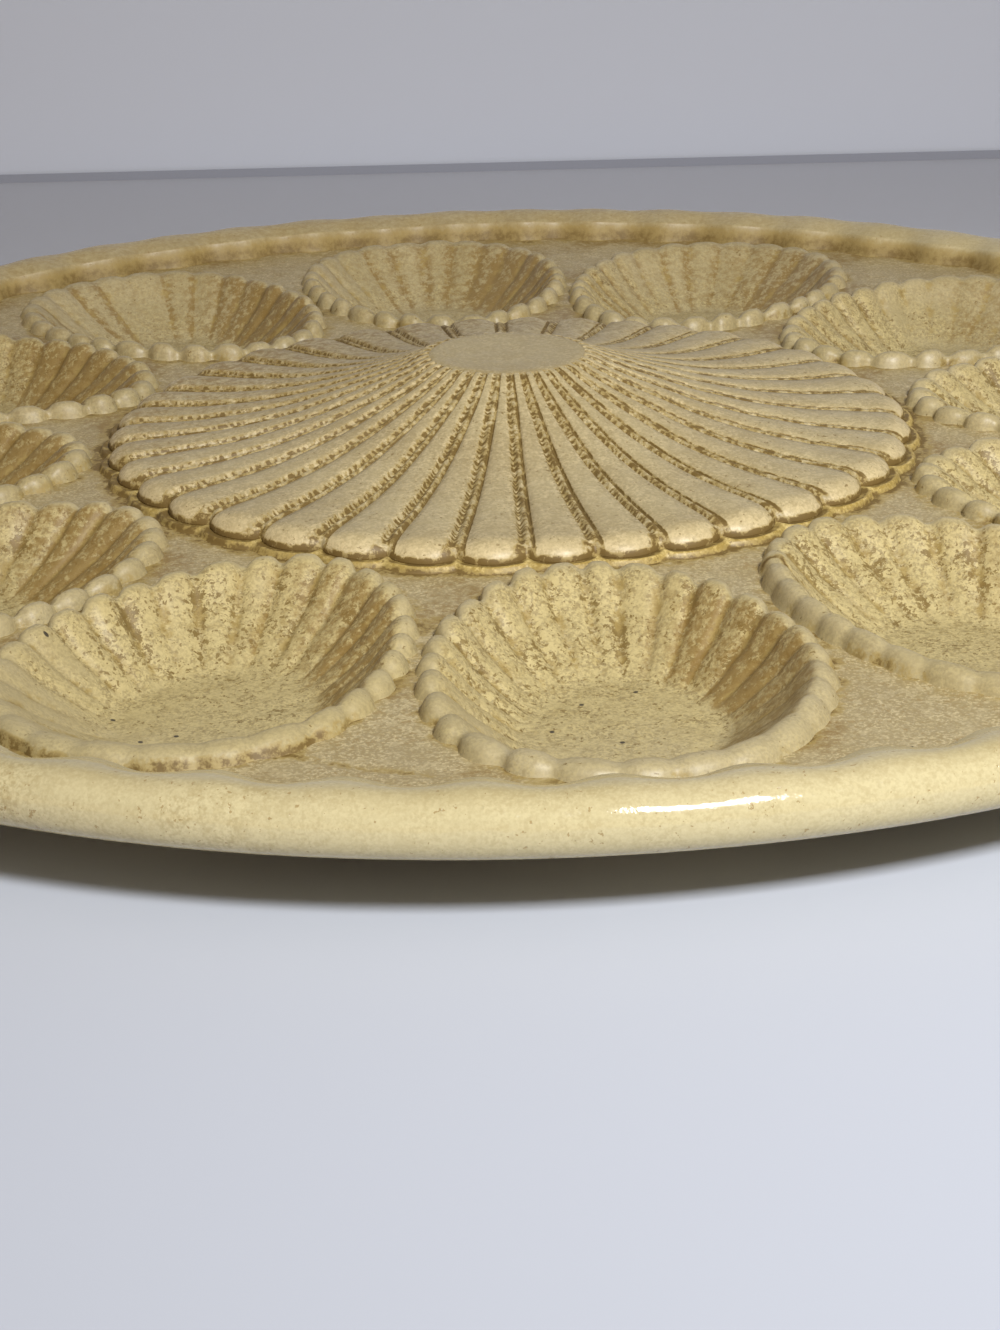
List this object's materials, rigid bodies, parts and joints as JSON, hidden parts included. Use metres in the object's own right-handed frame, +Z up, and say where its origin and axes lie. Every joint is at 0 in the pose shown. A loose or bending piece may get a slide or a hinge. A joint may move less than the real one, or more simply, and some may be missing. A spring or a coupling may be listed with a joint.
{
  "type": "oyster plate",
  "caption": "Round ceramic oyster plate: fluted oval wells in a ring around a ribbed shell dome, inside a rolled rim with a scalloped step.",
  "frame": {"origin": "middle of the foot ring, on the surface that the plate stands on", "axes": "+Z up, along the plate's axis; the middle of well_01 lies on -Y"},
  "size_m": [0.3799, 0.38, 0.0328],
  "materials": {
    "rim_glaze": "glossy pale yellow-cream glaze, softly mottled",
    "ground_glaze": "satin grey-tan glaze with brown pooling in the corners",
    "well_glaze": "satin cream-yellow glaze with dense olive-brown speckles",
    "gold_glaze": "golden glaze with brown pooled lines",
    "dome_glaze": "satin cream-grey glaze, brown in the grooves",
    "bare_foot": "unglazed foot, fine grain"
  },
  "bodies": {
    "root": {"outer_rim": "rim_glaze", "well_field": "ground_glaze", "well_01": "well_glaze", "well_02": "well_glaze", "well_03": "well_glaze", "well_04": "well_glaze", "well_05": "well_glaze", "well_06": "well_glaze", "well_07": "well_glaze", "well_08": "well_glaze", "well_09": "well_glaze", "well_10": "well_glaze", "well_11": "well_glaze", "well_12": "well_glaze", "dome_tier": "gold_glaze", "centre_dome": "dome_glaze", "dome_crown": "ground_glaze", "foot_ring": "bare_foot"}
  },
  "joints": []
}
